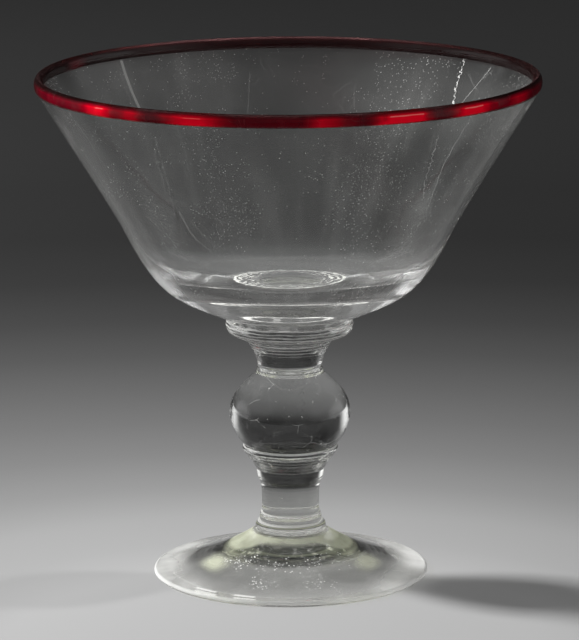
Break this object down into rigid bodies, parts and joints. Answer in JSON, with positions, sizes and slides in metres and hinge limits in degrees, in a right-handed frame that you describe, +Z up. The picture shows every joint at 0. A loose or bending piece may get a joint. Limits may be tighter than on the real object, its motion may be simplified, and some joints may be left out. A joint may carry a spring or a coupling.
{
  "type": "footed glass bowl",
  "caption": "Clear free-blown glass bowl with a flared wall and a ruby lip, on a ball-knopped stem with pressed collars and a round domed foot.",
  "frame": {"origin": "centre of the foot's resting ring, on the surface that the bowl stands on", "axes": "+Z up, along the axis of the foot, stem and bowl; +X and +Y are alike, because the piece is round"},
  "size_m": [0.2, 0.2, 0.2027],
  "materials": {
    "clear_glass": "fire-polished, faintly grey-green soda glass",
    "ruby_glass": "fire-polished transparent ruby glass"
  },
  "bodies": {
    "root": {"foot": "clear_glass", "foot_ring": "clear_glass", "shank_ring": "clear_glass", "shank": "clear_glass", "knop_merese": "clear_glass", "ball_knop": "clear_glass", "neck": "clear_glass", "bowl_merese": "clear_glass", "bowl": "clear_glass", "ruby_rim": "ruby_glass"}
  },
  "joints": []
}
